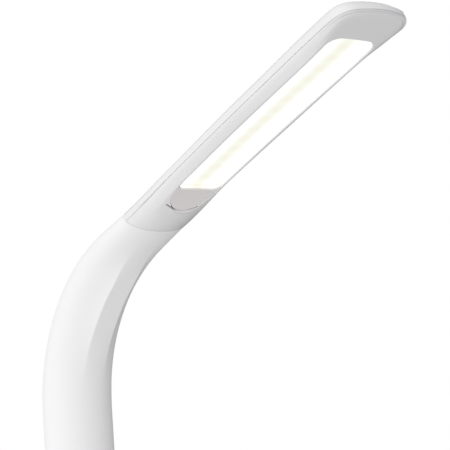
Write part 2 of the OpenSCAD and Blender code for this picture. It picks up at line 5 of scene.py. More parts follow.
import bmesh
import bpy
import numpy as np
from mathutils.geometry import delaunay_2d_cdt
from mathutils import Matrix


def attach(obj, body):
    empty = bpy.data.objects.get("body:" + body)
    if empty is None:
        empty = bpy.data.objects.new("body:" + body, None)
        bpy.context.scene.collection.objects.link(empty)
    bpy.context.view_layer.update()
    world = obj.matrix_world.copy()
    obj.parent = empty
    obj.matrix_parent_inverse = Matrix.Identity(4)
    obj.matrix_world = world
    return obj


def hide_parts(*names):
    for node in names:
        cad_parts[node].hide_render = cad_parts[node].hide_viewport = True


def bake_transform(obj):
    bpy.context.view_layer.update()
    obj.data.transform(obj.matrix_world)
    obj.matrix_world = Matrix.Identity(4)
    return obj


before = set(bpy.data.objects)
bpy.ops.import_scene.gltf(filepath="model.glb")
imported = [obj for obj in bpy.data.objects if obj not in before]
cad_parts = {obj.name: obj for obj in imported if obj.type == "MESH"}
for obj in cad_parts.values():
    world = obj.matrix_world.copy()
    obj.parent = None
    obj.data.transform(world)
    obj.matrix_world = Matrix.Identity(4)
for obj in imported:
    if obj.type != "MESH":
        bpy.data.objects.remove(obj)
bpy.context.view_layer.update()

MM = 0.001

# Sizes in millimetres, and angles, as in the part's own source
BASE_H = 24.0
FOOT_X = -48.0
NECK_STRAIGHT = 113.4
NECK_LEAN = math.radians(5.6)
BEND_R = 139.0
BEND = math.radians(64.9)
NECK_TOP = 26.3
HALF_W = 28.9
FOOT_HALF_T = 23.7
TAPER_AT = 127.0
SLEEVE_WALL = 3.5
SPLIT_LOW = 129.0
SPLIT_MID = 212.0
SEAM_TO_LENS = 60.0
LENS_L = 180.0
LENS_DROP = 4.9
HEAD_T = 14.2
PART_Z = 6.0
SEAT_GAP = 0.25
LED_PITCH = 12.0

# Sizes in millimetres, and slopes, of the dressed shapes alone
SEAM_HALF_T = 12.4
TAPER_END = 304.0
SEAM_CENTRE = 52.3      # from the middle of the seam to the light panel
SEAM_SLOPE = 0.26
TIP_R = 14.8
TIP_BOW_R = 75.0
TIP_HALF_W = 31.86
OPAL_DEPTH = 3.6
MOON_L = 23.0
MOON_SLOPE = 0.06
MOON_CURVE = 0.0048
HEAD_LEN = 209.3

BEND_LEN = BEND_R * BEND
SEAM_AT = NECK_STRAIGHT + BEND_LEN + NECK_TOP
ELEV = math.pi / 2 - BEND + NECK_LEAN


# ---------------------------------------------------------------- places


def path_place(u):
    """Centre line of the neck at the distance u from the foot, and its angle."""
    turn = min(max((u - NECK_STRAIGHT) / BEND_R, 0), BEND) - NECK_LEAN
    low = min(u, NECK_STRAIGHT)
    high = max(0, u - NECK_STRAIGHT - BEND_LEN)
    x = FOOT_X - low * math.sin(NECK_LEAN) + high * math.cos(ELEV)
    x += BEND_R * (math.cos(NECK_LEAN) - math.cos(turn))
    z = BASE_H + low * math.cos(NECK_LEAN) + high * math.sin(ELEV)
    z += BEND_R * (math.sin(turn) + math.sin(NECK_LEAN))
    return x, z, turn


SEAM_X, SEAM_Z, _ = path_place(SEAM_AT)
ALONG = np.array([math.cos(ELEV), 0, math.sin(ELEV)])
ABOVE = np.array([-math.sin(ELEV), 0, math.cos(ELEV)])
HEAD_O = np.array([SEAM_X, 0, SEAM_Z]) + SEAM_TO_LENS * ALONG - LENS_DROP * ABOVE


def head_place(points):
    """Metres in the lamp's frame of points in the head's own frame."""
    p = np.asarray(points, float).reshape(-1, 3)
    world = HEAD_O + p[:, :1] * ALONG + p[:, 1:2] * np.array([0, 1, 0]) + p[:, 2:] * ABOVE
    return world * MM


def neck_point(u):
    x, z, _ = path_place(u)
    return (x * MM, 0, z * MM)


def ease(a, b, x):
    t = np.clip((np.asarray(x, float) - a) / (b - a), 0, 1)
    return t * t * (3 - 2 * t)


# ---------------------------------------------------------------- meshes


def new_piece(name, points, faces):
    mesh = bpy.data.meshes.new(name)
    mesh.from_pydata([tuple(p) for p in points], [], faces)
    mesh.update()
    piece = bpy.data.objects.new(name, mesh)
    bpy.context.scene.collection.objects.link(piece)
    return piece


def finish_mesh(piece, material, sharp=50):
    """Applies the piece's modifiers, smooths its faces and gives it its material."""
    bpy.context.view_layer.update()
    depsgraph = bpy.context.evaluated_depsgraph_get()
    mesh = bpy.data.meshes.new_from_object(piece.evaluated_get(depsgraph), depsgraph=depsgraph)
    piece.modifiers.clear()
    old = piece.data
    piece.data = mesh
    bpy.data.meshes.remove(old)
    mesh.name = piece.name
    mesh.materials.clear()
    mesh.materials.append(material)
    for polygon in mesh.polygons:
        polygon.use_smooth = True
        polygon.material_index = 0
    mesh.set_sharp_from_angle(angle=math.radians(sharp))
    return piece


class Skin:
    """Rows and patches of points that grow into one surface, in the head's frame."""

    def __init__(self):
        self.points = []
        self.faces = []

    def row(self, points):
        start = len(self.points)
        self.points.extend(tuple(map(float, p)) for p in points)
        return list(range(start, len(self.points)))

    def join(self, a, b, closed=False):
        n = len(a)
        for i in range(n if closed else n - 1):
            j = (i + 1) % n
            self.faces.append((a[i], a[j], b[j], b[i]))

    def patch(self, flat, triangles, height):
        rows = self.row([(x, y, z) for (x, y), z in zip(flat, height(flat[:, 0], flat[:, 1]))])
        self.faces.extend(tuple(rows[i] for i in t) for t in triangles)

    def piece(self, name, material, wall, up=None, sharp=50):
        """Joins what coincides, points the faces outwards and gives the surface its wall."""
        piece = new_piece(name, head_place(self.points), self.faces)
        work = bmesh.new()
        work.from_mesh(piece.data)
        bmesh.ops.remove_doubles(work, verts=work.verts, dist=0.02 * MM)
        bmesh.ops.recalc_face_normals(work, faces=work.faces)
        if up is not None:
            lean = sum((f.normal * f.calc_area()).dot(ABOVE) for f in work.faces)
            if lean * up < 0:
                bmesh.ops.reverse_faces(work, faces=work.faces)
        work.to_mesh(piece.data)
        work.free()
        if wall:
            thick = piece.modifiers.new("wall", "SOLIDIFY")
            thick.thickness = wall * MM
            thick.offset = -1
        return finish_mesh(piece, material, sharp)


def inside(points, loop):
    """Which points lie inside a closed loop."""
    x, y = points[:, 0], points[:, 1]
    hit = np.zeros(len(points), bool)
    for (x0, y0), (x1, y1) in zip(loop, np.roll(loop, -1, axis=0)):
        if y0 == y1:
            continue
        crossing = ((y0 > y) != (y1 > y)) & (x < (x1 - x0) * (y - y0) / (y1 - y0) + x0)
        hit ^= crossing
    return hit


def fill(loops, bands):
    """Triangles over the first loop less the others. bands holds (x from, x to, spacing)."""
    loops = [np.asarray(loop, float) for loop in loops]
    edge = np.concatenate(loops)
    inner = []
    for x0, x1, step in bands:
        rows = np.arange(edge[:, 1].min(), edge[:, 1].max(), step * 0.866)
        for k, y in enumerate(rows):
            for x in np.arange(x0 + (k % 2) * step / 2, x1, step):
                inner.append((x, y, step))
    inner = np.array(inner)
    near = np.full(len(inner), 1e9)
    for p in edge:
        near = np.minimum(near, np.hypot(inner[:, 0] - p[0], inner[:, 1] - p[1]))
    keep = (near > 0.7 * inner[:, 2]) & inside(inner[:, :2], loops[0])
    for hole in loops[1:]:
        keep &= ~inside(inner[:, :2], hole)
    points = np.concatenate([edge, inner[keep, :2]])
    edges = []
    start = 0
    for loop in loops:
        n = len(loop)
        edges += [(start + i, start + (i + 1) % n) for i in range(n)]
        start += n
    flat, _, triangles, *_ = delaunay_2d_cdt([tuple(p) for p in points], edges, [], 0, 1e-7)
    flat = np.array([tuple(p) for p in flat])
    triangles = np.array(triangles)
    middle = flat[triangles].mean(1)
    good = inside(middle, loops[0])
    for hole in loops[1:]:
        good &= ~inside(middle, hole)
    return flat, triangles[good].tolist()


# ---------------------------------------------------------------- node sums


class Figure:
    """A number that nodes work out, so that a shape's rule reads as a plain sum."""

    def __init__(self, tree, socket):
        self.tree, self.socket = tree, socket

    def work(self, kind, *others):
        node = self.tree.nodes.new("ShaderNodeMath")
        node.operation = kind
        for slot, item in zip(node.inputs, (self,) + others):
            if isinstance(item, Figure):
                self.tree.links.new(item.socket, slot)
            else:
                slot.default_value = item
        return Figure(self.tree, node.outputs[0])

    def __add__(self, other):
        return self.work("ADD", other)

    def __sub__(self, other):
        return self.work("SUBTRACT", other)

    def __mul__(self, other):
        return self.work("MULTIPLY", other)

    def __truediv__(self, other):
        return self.work("DIVIDE", other)

    __radd__ = __add__
    __rmul__ = __mul__

    def least(self, other):
        return self.work("MINIMUM", other)

    def most(self, other):
        return self.work("MAXIMUM", other)

    def eased(self, low, high):
        """0 below low, 1 above high, and a soft step between them."""
        node = self.tree.nodes.new("ShaderNodeMapRange")
        node.interpolation_type = "SMOOTHSTEP"
        self.tree.links.new(self.socket, node.inputs["Value"])
        for slot, item in (("From Min", low), ("From Max", high)):
            if isinstance(item, Figure):
                self.tree.links.new(item.socket, node.inputs[slot])
            else:
                node.inputs[slot].default_value = item
        return Figure(self.tree, node.outputs["Result"])


def shape_tree(name, sizes):
    """A geometry tree with a geometry socket and named sizes, and the figures of those sizes."""
    tree = bpy.data.node_groups.new(name, "GeometryNodeTree")
    tree.interface.new_socket(name="Geometry", in_out="INPUT", socket_type="NodeSocketGeometry")
    tree.interface.new_socket(name="Finish", in_out="INPUT", socket_type="NodeSocketMaterial")
    for label, value in sizes.items():
        socket = tree.interface.new_socket(name=label, in_out="INPUT", socket_type="NodeSocketFloat")
        socket.default_value = value
    tree.interface.new_socket(name="Geometry", in_out="OUTPUT", socket_type="NodeSocketGeometry")
    start = tree.nodes.new("NodeGroupInput")
    end = tree.nodes.new("NodeGroupOutput")
    figures = {label: Figure(tree, start.outputs[label]) for label in sizes}
    return tree, start, end, figures


def use_shape_tree(piece, tree, material, sizes):
    """Puts the tree on the piece with these sizes, and turns the result into a plain mesh."""
    shape = piece.modifiers.new("shape", "NODES")
    shape.node_group = tree
    for item in tree.interface.items_tree:
        if item.in_out == "INPUT" and item.name in sizes:
            shape[item.identifier] = sizes[item.name]
        elif item.in_out == "INPUT" and item.name == "Finish":
            shape[item.identifier] = material
    return finish_mesh(piece, material)


def end_with_finish(tree, start, end, geometry):
    realize = tree.nodes.new("GeometryNodeRealizeInstances")
    finish = tree.nodes.new("GeometryNodeSetMaterial")
    tree.links.new(geometry, realize.inputs[0])
    tree.links.new(realize.outputs[0], finish.inputs["Geometry"])
    tree.links.new(start.outputs["Finish"], finish.inputs["Material"])
    tree.links.new(finish.outputs[0], end.inputs[0])


# ---------------------------------------------------------------- finishes


def effect_group(name, inputs, outputs):
    group = bpy.data.node_groups.new(name, "ShaderNodeTree")
    for label, kind, value in inputs:
        socket = group.interface.new_socket(name=label, in_out="INPUT", socket_type=kind)
        socket.default_value = value
    for label, kind in outputs:
        group.interface.new_socket(name=label, in_out="OUTPUT", socket_type=kind)
    return group, group.nodes.new("NodeGroupInput"), group.nodes.new("NodeGroupOutput")


FLOAT = "NodeSocketFloat"
COLOUR = "NodeSocketColor"
VECTOR = "NodeSocketVector"


def moulded_grain_group():
    """Fine moulding texture, faint handling marks in the gloss and hairline scratches."""
    group, start, end = effect_group(
        "moulded grain",
        [
            ("Grain Size", FLOAT, 1500),
            ("Grain Depth", FLOAT, 0.00002),
            ("Roughness", FLOAT, 0.4),
            ("Smudge", FLOAT, 0.05),
            ("Scratch", FLOAT, 0.03),
        ],
        [("Roughness", FLOAT), ("Normal", VECTOR)],
    )
    link = group.links.new
    place = group.nodes.new("ShaderNodeTexCoord").outputs["Object"]
    grain = group.nodes.new("ShaderNodeTexNoise")
    grain.inputs["Detail"].default_value = 3
    link(place, grain.inputs["Vector"])
    link(start.outputs["Grain Size"], grain.inputs["Scale"])
    smudge = group.nodes.new("ShaderNodeTexNoise")
    smudge.inputs["Scale"].default_value = 26
    smudge.inputs["Detail"].default_value = 5
    link(place, smudge.inputs["Vector"])
    turn = group.nodes.new("ShaderNodeMapping")
    turn.inputs["Rotation"].default_value = (0.4, 0.7, 0.9)
    turn.inputs["Scale"].default_value = (30, 700, 700)
    link(place, turn.inputs["Vector"])
    hair = group.nodes.new("ShaderNodeTexNoise")
    hair.inputs["Scale"].default_value = 1
    hair.inputs["Detail"].default_value = 1
    link(turn.outputs[0], hair.inputs["Vector"])
    rough = Figure(group, start.outputs["Roughness"])
    marks = Figure(group, smudge.outputs[0]).eased(0.4, 0.7) - 0.5
    lines = Figure(group, hair.outputs[0]).eased(0.66, 0.72)
    rough = rough + marks * Figure(group, start.outputs["Smudge"])
    rough = rough + lines * Figure(group, start.outputs["Scratch"])
    bump = group.nodes.new("ShaderNodeBump")
    link(grain.outputs[0], bump.inputs["Height"])
    link(start.outputs["Grain Depth"], bump.inputs["Distance"])
    link(rough.socket, end.inputs["Roughness"])
    link(bump.outputs[0], end.inputs["Normal"])
    return group


def tone_group():
    """A colour that drifts a little over the surface, as moulded or printed stock does."""
    group, start, end = effect_group(
        "drifting tone",
        [("Colour", COLOUR, (1, 1, 1, 1)), ("Drift", FLOAT, 0.02), ("Patch Size", FLOAT, 14)],
        [("Colour", COLOUR)],
    )
    place = group.nodes.new("ShaderNodeTexCoord").outputs["Object"]
    noise = group.nodes.new("ShaderNodeTexNoise")
    noise.inputs["Detail"].default_value = 4
    group.links.new(place, noise.inputs["Vector"])
    group.links.new(start.outputs["Patch Size"], noise.inputs["Scale"])
    drift = (Figure(group, noise.outputs[0]) - 0.5) * Figure(group, start.outputs["Drift"]) + 1.0
    scale = group.nodes.new("ShaderNodeVectorMath")
    scale.operation = "SCALE"
    group.links.new(start.outputs["Colour"], scale.inputs[0])
    group.links.new(drift.socket, scale.inputs["Scale"])
    group.links.new(scale.outputs[0], end.inputs["Colour"])
    return group


MOULDED_GRAIN = moulded_grain_group()
DRIFTING_TONE = tone_group()


def finish(
    name, colour, rough, metal=0.0, grain=(1500, 0.00002), smudge=0.05, scratch=0.03,
    drift=0.02, patch=14, coat=0.0, sheen=0.0, specular=0.5
):
    """A material with drifting tone, grain in its normal and marks in its gloss."""
    material = bpy.data.materials.new(name)
    material.use_nodes = True
    nodes, link = material.node_tree.nodes, material.node_tree.links.new
    shader = nodes["Principled BSDF"]
    tone = nodes.new("ShaderNodeGroup")
    tone.node_tree = DRIFTING_TONE
    tone.inputs["Colour"].default_value = (*colour, 1)
    tone.inputs["Drift"].default_value = drift
    tone.inputs["Patch Size"].default_value = patch
    texture = nodes.new("ShaderNodeGroup")
    texture.node_tree = MOULDED_GRAIN
    texture.inputs["Grain Size"].default_value = grain[0]
    texture.inputs["Grain Depth"].default_value = grain[1]
    texture.inputs["Roughness"].default_value = rough
    texture.inputs["Smudge"].default_value = smudge
    texture.inputs["Scratch"].default_value = scratch
    link(tone.outputs["Colour"], shader.inputs["Base Color"])
    link(texture.outputs["Roughness"], shader.inputs["Roughness"])
    link(texture.outputs["Normal"], shader.inputs["Normal"])
    shader.inputs["Metallic"].default_value = metal
    shader.inputs["Coat Weight"].default_value = coat
    shader.inputs["Sheen Weight"].default_value = sheen
    shader.inputs["Specular IOR Level"].default_value = specular
    return material


def tree_mix(tree, share, first, second):
    """The first colour turning into the second as the share goes from 0 to 1."""
    mix = tree.nodes.new("ShaderNodeMix")
    mix.data_type = "RGBA"
    tree.links.new(share.socket, mix.inputs["Factor"])
    for slot, colour in (("A", first), ("B", second)):
        if isinstance(colour, tuple):
            mix.inputs[slot].default_value = (*colour, 1)
        else:
            tree.links.new(colour, mix.inputs[slot])
    return mix.outputs["Result"]


DIM_BAND = (9.8, 1.0)       # half width of the dimmer band between the rows, and of its core
LEDGE_RISE = (1.3, 0.6)     # above the tray's floor, the dimmer ledge round it begins and is full
LEDGE_FADE = (0.03, 0.2)    # and where it is gone, just above the floor, and begins to fade
SHEET_GLOW = (0.84, 0.84, 0.825)
GAP_GLOW = (0.695, 0.72, 0.60)
DIODE_GLOW = (0.725, 0.705, 0.59)


def lit_opal():
    """Opal tray lit from behind by two rows of diodes: dimmer between the rows and round its edge."""
    material = finish("lit opal sheet", (0.25, 0.25, 0.245), 0.35, grain=(900, 0.00001))
    tree = material.node_tree
    nodes, link = tree.nodes, tree.links.new
    shader = nodes["Principled BSDF"]
    centre = nodes.new("ShaderNodeMapping")
    centre.vector_type = "TEXTURE"
    centre.inputs["Location"].default_value = tuple(HEAD_O * MM)
    centre.inputs["Rotation"].default_value = (0, -ELEV, 0)
    link(nodes.new("ShaderNodeTexCoord").outputs["Object"], centre.inputs["Vector"])
    split = nodes.new("ShaderNodeSeparateXYZ")
    link(centre.outputs[0], split.inputs[0])
    along, across = (Figure(tree, split.outputs[i]) for i in range(2))
    tray = nodes.new("ShaderNodeAttribute")
    tray.attribute_name = "tray_depth"
    depth = Figure(tree, tray.outputs["Fac"])
    off = across.work("ABSOLUTE")
    beat = (along * (2 * math.pi / (LED_PITCH * MM))).work("COSINE") * 0.5 + 0.5
    valley = off.eased(*(half * MM for half in DIM_BAND)) * (beat * 0.22 + 0.78)
    begins, full = ((OPAL_DEPTH - rise) * MM for rise in LEDGE_RISE)
    gone, fades = ((OPAL_DEPTH - rise) * MM for rise in LEDGE_FADE)
    ledge = depth.eased(begins, full) * depth.eased(gone, fades) * 0.75
    between = tree_mix(tree, beat, GAP_GLOW, DIODE_GLOW)
    shade = tree_mix(tree, valley.most(ledge), SHEET_GLOW, between)
    link(shade, shader.inputs["Emission Color"])
    shader.inputs["Emission Strength"].default_value = 1.0
    return material


def circuit_board(name):
    """Solder mask with copper runs under it."""
    material = finish(name, (0.02, 0.11, 0.05), 0.32, grain=(700, 0.00001), drift=0.2, patch=60)
    tree = material.node_tree
    nodes, link = tree.nodes, tree.links.new
    shader = nodes["Principled BSDF"]
    base = shader.inputs["Base Color"].links[0].from_socket
    cells = nodes.new("ShaderNodeTexVoronoi")
    cells.distance = "MANHATTAN"
    cells.feature = "F1"
    cells.inputs["Scale"].default_value = 240
    link(nodes.new("ShaderNodeTexCoord").outputs["Object"], cells.inputs["Vector"])
    runs = Figure(tree, cells.outputs["Distance"]).eased(0.62, 0.7)
    mixed = nodes.new("ShaderNodeMix")
    mixed.data_type = "RGBA"
    link(runs.socket, mixed.inputs["Factor"])
    link(base, mixed.inputs["A"])
    mixed.inputs["B"].default_value = (0.05, 0.2, 0.08, 1)
    link(mixed.outputs["Result"], shader.inputs["Base Color"])
    return material


FINISH = {
    "sleeve": finish("silicone sleeve", (0.86, 0.86, 0.865), 0.5, grain=(2200, 0.00003), sheen=0.05),
    "housing": finish("white housing", (0.795, 0.795, 0.805), 0.3, grain=(1800, 0.000012), coat=0.7),
    "cover": finish("white top cover", (0.79, 0.79, 0.795), 0.3, grain=(1800, 0.000012), coat=0.7),
    "plate": finish("satin plate", (0.77, 0.752, 0.748), 0.38, grain=(1300, 0.00003)),
    "base": finish("white base cover", (0.86, 0.86, 0.865), 0.33, grain=(1700, 0.000015), smudge=0.08),
    "button": finish("button caps", (0.74, 0.745, 0.755), 0.36, grain=(1500, 0.00002)),
    "underside": finish("ribbed plastic", (0.7, 0.7, 0.7), 0.5, grain=(900, 0.00005)),
    "rubber": finish("anti-slip rubber", (0.035, 0.035, 0.037), 0.75, grain=(800, 0.00008)),
    "keypad": finish("keypad silicone", (0.55, 0.56, 0.57), 0.6),
    "iron": finish("cast iron", (0.12, 0.12, 0.125), 0.6, metal=0.6, grain=(500, 0.00012), drift=0.3),
    "steel": finish("zinc-plated steel", (0.6, 0.61, 0.62), 0.3, metal=1, grain=(400, 0.00002),
                    scratch=0.2),
    "dark_steel": finish("blackened screws", (0.08, 0.08, 0.085), 0.35, metal=0.9, scratch=0.2),
    "brass": finish("brass washers", (0.72, 0.5, 0.2), 0.3, metal=1, grain=(600, 0.00002), scratch=0.2),
    "alloy": finish("brushed aluminium", (0.74, 0.75, 0.76), 0.35, metal=1, grain=(300, 0.00002),
                    scratch=0.25),
    "wire": finish("cable jacket", (0.02, 0.02, 0.022), 0.5, grain=(1200, 0.00003)),
    "chip": finish("black chips", (0.03, 0.03, 0.032), 0.45, grain=(1500, 0.00004)),
    "jack": finish("inlet plastic", (0.025, 0.025, 0.027), 0.4),
    "board": circuit_board("green circuit board"),
    "led_board": finish("white circuit board", (0.82, 0.82, 0.8), 0.4, drift=0.06, patch=90),
    "phosphor": finish("diode phosphor", (0.85, 0.66, 0.16), 0.35, grain=(3000, 0.00002)),
    "opal": lit_opal(),
}

NODE_FINISH = {
    "rubber": ["rubber_pad"],
    "underside": ["base_plate"],
    "iron": ["base_weight"],
    "base": ["base_cover", "neck_collar"],
    "steel": ["base_screws", "board_screws", "neck_post", "link_lower", "link_upper", "head_bracket"],
    "dark_steel": ["post_screws", "bracket_screws", "led_screws"],
    "board": ["control_board"],
    "chip": ["board_components"],
    "jack": ["dc_inlet", "tact_switches"],
    "keypad": ["keypad"],
    "button": ["power_button", "brighter_button", "dimmer_button"],
    "sleeve": ["sleeve_lower", "sleeve_mid", "sleeve_upper"],
    "alloy": ["hinge_pin_low", "hinge_pin_mid", "hinge_pin_top", "heat_spreader",
              "hinge_nut_low", "hinge_nut_mid", "hinge_nut_top"],
    "brass": ["washers_low", "washers_mid", "washers_top"],
    "wire": ["wire_post", "wire_lower", "wire_upper", "wire_head"],
    "housing": ["head_lower_housing"],
    "cover": ["head_top_cover"],
    "plate": ["half_moon_plate"],
    "led_board": ["led_board"],
    "phosphor": ["leds"],
    "opal": ["diffuser"],
}
for key, names in NODE_FINISH.items():
    for name in names:
        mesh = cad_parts[name].data
        mesh.materials.clear()
        mesh.materials.append(FINISH[key])


# ---------------------------------------------------------------- neck sleeve

SLEEVE_START = 3.0      # how far above the base the sleeve starts
SLEEVE_ROW = 1.6        # spacing of its rows
SLEEVE_EDGE = 0.9       # round of its edge at the seam
FOLD = {
    "Fold Half Width": 9.8,
    "Fold Rise": 6.0,
    "Fold Reach": 7.0,
    "Fold Edge": 1.2,
    "Fold From": 128.0,
    "Fold Full": 215.0,
    "Fold Fade": 235.0,
    "Fold End": 290.0,
}


def bent_sleeve_tree():
    """Rolls a flat pattern, whose x, y and z are the distance along the neck, the angle round it
    and the depth in its wall, into the bent, tapering sleeve with the flattened inner side."""
    sizes = {
        "Foot X": FOOT_X, "Foot Height": BASE_H, "Straight": NECK_STRAIGHT, "Bend Radius": BEND_R,
        "Bend Length": BEND_LEN, "Half Width": HALF_W, "Foot Half Thickness": FOOT_HALF_T,
        "Seam Half Thickness": SEAM_HALF_T, "Taper From": TAPER_AT, "Taper End": TAPER_END,
        "Wall": SLEEVE_WALL, **FOLD,
    }
    sizes = {label: value * MM for label, value in sizes.items()}
    sizes.update({"Lean": NECK_LEAN, "Bend": BEND, "Rise": ELEV})
    tree, start, end, s = shape_tree("bent sleeve", sizes)
    place = tree.nodes.new("ShaderNodeSeparateXYZ")
    tree.links.new(tree.nodes.new("GeometryNodeInputPosition").outputs[0], place.inputs[0])
    u, around, depth = (Figure(tree, place.outputs[i]) for i in range(3))
    turn = ((u - s["Straight"]) / s["Bend Radius"]).most(0).least(s["Bend"]) - s["Lean"]
    low = u.least(s["Straight"])
    high = (u - s["Straight"] - s["Bend Length"]).most(0)
    x = s["Foot X"] - low * s["Lean"].work("SINE") + high * s["Rise"].work("COSINE")
    x = x + s["Bend Radius"] * (s["Lean"].work("COSINE") - turn.work("COSINE"))
    z = s["Foot Height"] + low * s["Lean"].work("COSINE") + high * s["Rise"].work("SINE")
    z = z + s["Bend Radius"] * (turn.work("SINE") + s["Lean"].work("SINE"))
    share = ((u - s["Taper From"]) / (s["Taper End"] - s["Taper From"])).most(0).least(1)
    half_t = s["Foot Half Thickness"] - share * (s["Foot Half Thickness"] - s["Seam Half Thickness"])
    side = around.work("SINE")
    y = (s["Half Width"] - depth) * side
    plain = (half_t - depth) * around.work("COSINE")
    beyond = y.work("ABSOLUTE") - s["Fold Half Width"]
    swell = (beyond / s["Fold Reach"] * -1.0).work("EXPONENT") * s["Fold Rise"]
    ratio = s["Fold Half Width"] / s["Half Width"]
    face = half_t * (ratio * ratio * -1.0 + 1.0).work("SQRT") + s["Fold Rise"]
    flat = (plain + swell).work("SMOOTH_MIN", face, s["Fold Edge"])
    front = around.work("COSINE").eased(0.05, 0.5)
    outer = (depth / s["Wall"] * -1.0 + 1.0).most(0)
    fold = u.eased(s["Fold From"], s["Fold Full"]) * u.eased(s["Fold End"], s["Fold Fade"])
    out = plain + (flat - plain) * front * outer * fold
    join = tree.nodes.new("ShaderNodeCombineXYZ")
    tree.links.new((x + out * turn.work("COSINE")).socket, join.inputs[0])
    tree.links.new(y.socket, join.inputs[1])
    tree.links.new((z - out * turn.work("SINE")).socket, join.inputs[2])
    move = tree.nodes.new("GeometryNodeSetPosition")
    tree.links.new(start.outputs["Geometry"], move.inputs["Geometry"])
    tree.links.new(join.outputs[0], move.inputs["Position"])
    end_with_finish(tree, start, end, move.outputs[0])
    return tree, sizes


def sleeve_angles(count=168):
    """Angles round the sleeve, closer together where its inner side folds."""
    even = np.linspace(-math.pi, math.pi, 4001)
    density = 1 + 3.5 * np.exp(-(((np.abs(even) - 0.33) / 0.16) ** 2))
    total = np.concatenate([[0], np.cumsum((density[1:] + density[:-1]) / 2)])
    return np.interp(np.arange(count) / count * total[-1], total, even)


def sleeve_pattern(name, start, end, top_edge=0.0):
    """Flat closed pattern of one stretch; start and end give the distance at each angle."""
    angles = sleeve_angles()
    first = np.array([start(a) for a in angles])
    last = np.array([end(a) for a in angles])
    count = int((last.max() - first.min()) / SLEEVE_ROW)
    rows = [(first + (last - top_edge - first) * k / count, 0.0) for k in range(count + 1)]
    if top_edge:
        for part in (0.25, 0.5, 0.75, 1.0):
            swing = part * math.pi / 2
            along = last - top_edge + top_edge * math.sin(swing)
            rows.append((along, top_edge * (1 - math.cos(swing))))
    rows.append((last, SLEEVE_WALL * 0.6))
    back = max(6, count // 6)
    rows += [(last + (first - last) * k / back, SLEEVE_WALL) for k in range(back + 1)]
    n, m = len(angles), len(rows)
    points = []
    for distance, depth in rows:
        points += [(d * MM, a, depth * MM) for d, a in zip(distance, angles)]
    faces = []
    for j in range(m):
        k = (j + 1) % m
        for i in range(n):
            h = (i + 1) % n
            faces.append((j * n + i, j * n + h, k * n + h, k * n + i))
    return new_piece(name, points, faces)


SLEEVE_TREE, SLEEVE_SIZES = bent_sleeve_tree()


def seam_along(out):
    """Where the seam lies along the neck, for a point that far out on the inner side."""
    return SEAM_AT + SEAM_TO_LENS - SEAM_CENTRE + out * SEAM_SLOPE


def at(value):
    return lambda angle: value


def sleeve_end(angle):
    return seam_along(SEAM_HALF_T * math.cos(angle))


# Each stretch: its name, its node, its two ends and the round of its edge, the two bodies that
# it joins, and where along the neck it turns from one to the other
STRETCHES = [
    ("neck_sleeve_low", "sleeve_lower", at(SLEEVE_START), at(SPLIT_LOW), 0,
     "base", "lower_link", 42, 120),
    ("neck_sleeve_mid", "sleeve_mid", at(SPLIT_LOW), at(SPLIT_MID), 0,
     "lower_link", "upper_link", 138, 206),
    ("neck_sleeve_top", "sleeve_upper", at(SPLIT_MID), sleeve_end, SLEEVE_EDGE,
     "upper_link", "light_head", 220, 276),
]
for name, node, start, end, edge, lower, upper, bend_from, bend_to in STRETCHES:
    sleeve = sleeve_pattern(name, start, end, edge)
    use_shape_tree(sleeve, SLEEVE_TREE, FINISH["sleeve"], SLEEVE_SIZES)
    work = bmesh.new()
    work.from_mesh(sleeve.data)
    bmesh.ops.recalc_face_normals(work, faces=work.faces)
    work.to_mesh(sleeve.data)
    work.free()
    sleeve.data.set_sharp_from_angle(angle=math.radians(50))
    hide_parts(node)
    neck_point(bend_from)
    neck_point(bend_to)
    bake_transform(sleeve)


# ---------------------------------------------------------------- light head

LOW_EDGE = 7.4          # inset of the flat underside from the head's side
TOP_EDGE = 7.0
X_COMMON = -34.0        # from here on, the head's stations stand square
SEAM_ROUND = 0.6
LOW_BLEND = (-49, 14)   # where the underside turns from the neck's oval to the flat slab
TOP_BLEND = (-52, 12)
SHELL_WALL = 1.2
TURNED_IN = 1.3         # how far each shell's edge turns inwards under the parting line
PART_ANGLE = -math.radians(6.7)
PART_GAP = 0.05         # half the gap between the two shells
GROOVE_REACH = (-0.62, 2.95)    # the parting groove's rows, by their height off the parting line
GROOVE_OPEN = 0.3

# Along the head: its waist and flare, and how far its underside, parting line and top
# stand off the plain slab
STAND_OFF_AT = (-57.0, -50.0, -20.0, 10.0, 40.0, 80.0, 120.0, 160.0, 191.0, 209.3)
FLARE = (0.0, 0.0, -0.5, -0.45, 0.0, 0.55, 0.6, 0.95, 3.0, 3.4)
LOW_OFF = (0.0, 0.0, -0.85, -0.95, -0.55, -0.35, -0.65, -0.95, -0.2, 0.2)
PART_OFF = (0.0, -0.1, -0.7, -0.8, -0.75, -0.9, -0.95, -1.3, -3.4, -4.6)
TOP_OFF = (0.0, 0.0, -0.3, -0.9, -0.45, -0.05, 0.0, 0.1, -1.9, -3.6)


def along_head(table):
    """A smooth curve through the table's values at the places in STAND_OFF_AT."""
    at, value = np.array(STAND_OFF_AT), np.array(table)
    slope = np.gradient(value, at)

    def curve(x):
        x = np.clip(np.asarray(x, float), at[0], at[-1])
        i = np.clip(np.searchsorted(at, x, side="right") - 1, 0, len(at) - 2)
        step = at[i + 1] - at[i]
        t = (x - at[i]) / step
        rise = t * t * (3 - 2 * t)
        lead = t * (1 - t) ** 2 * slope[i] * step - t * t * (1 - t) * slope[i + 1] * step
        return value[i] * (1 - rise) + value[i + 1] * rise + lead

    return curve


flare, low_off, part_off, top_off = (along_head(t) for t in (FLARE, LOW_OFF, PART_OFF, TOP_OFF))


def oval_z(y, sign):
    share = np.clip(1 - (np.asarray(y, float) / HALF_W) ** 2, 0, 1)
    return LENS_DROP + sign * SEAM_HALF_T * np.sqrt(share)


def low_share(x):
    return ease(*LOW_BLEND, x)


def top_share(x):
    return ease(*TOP_BLEND, x)


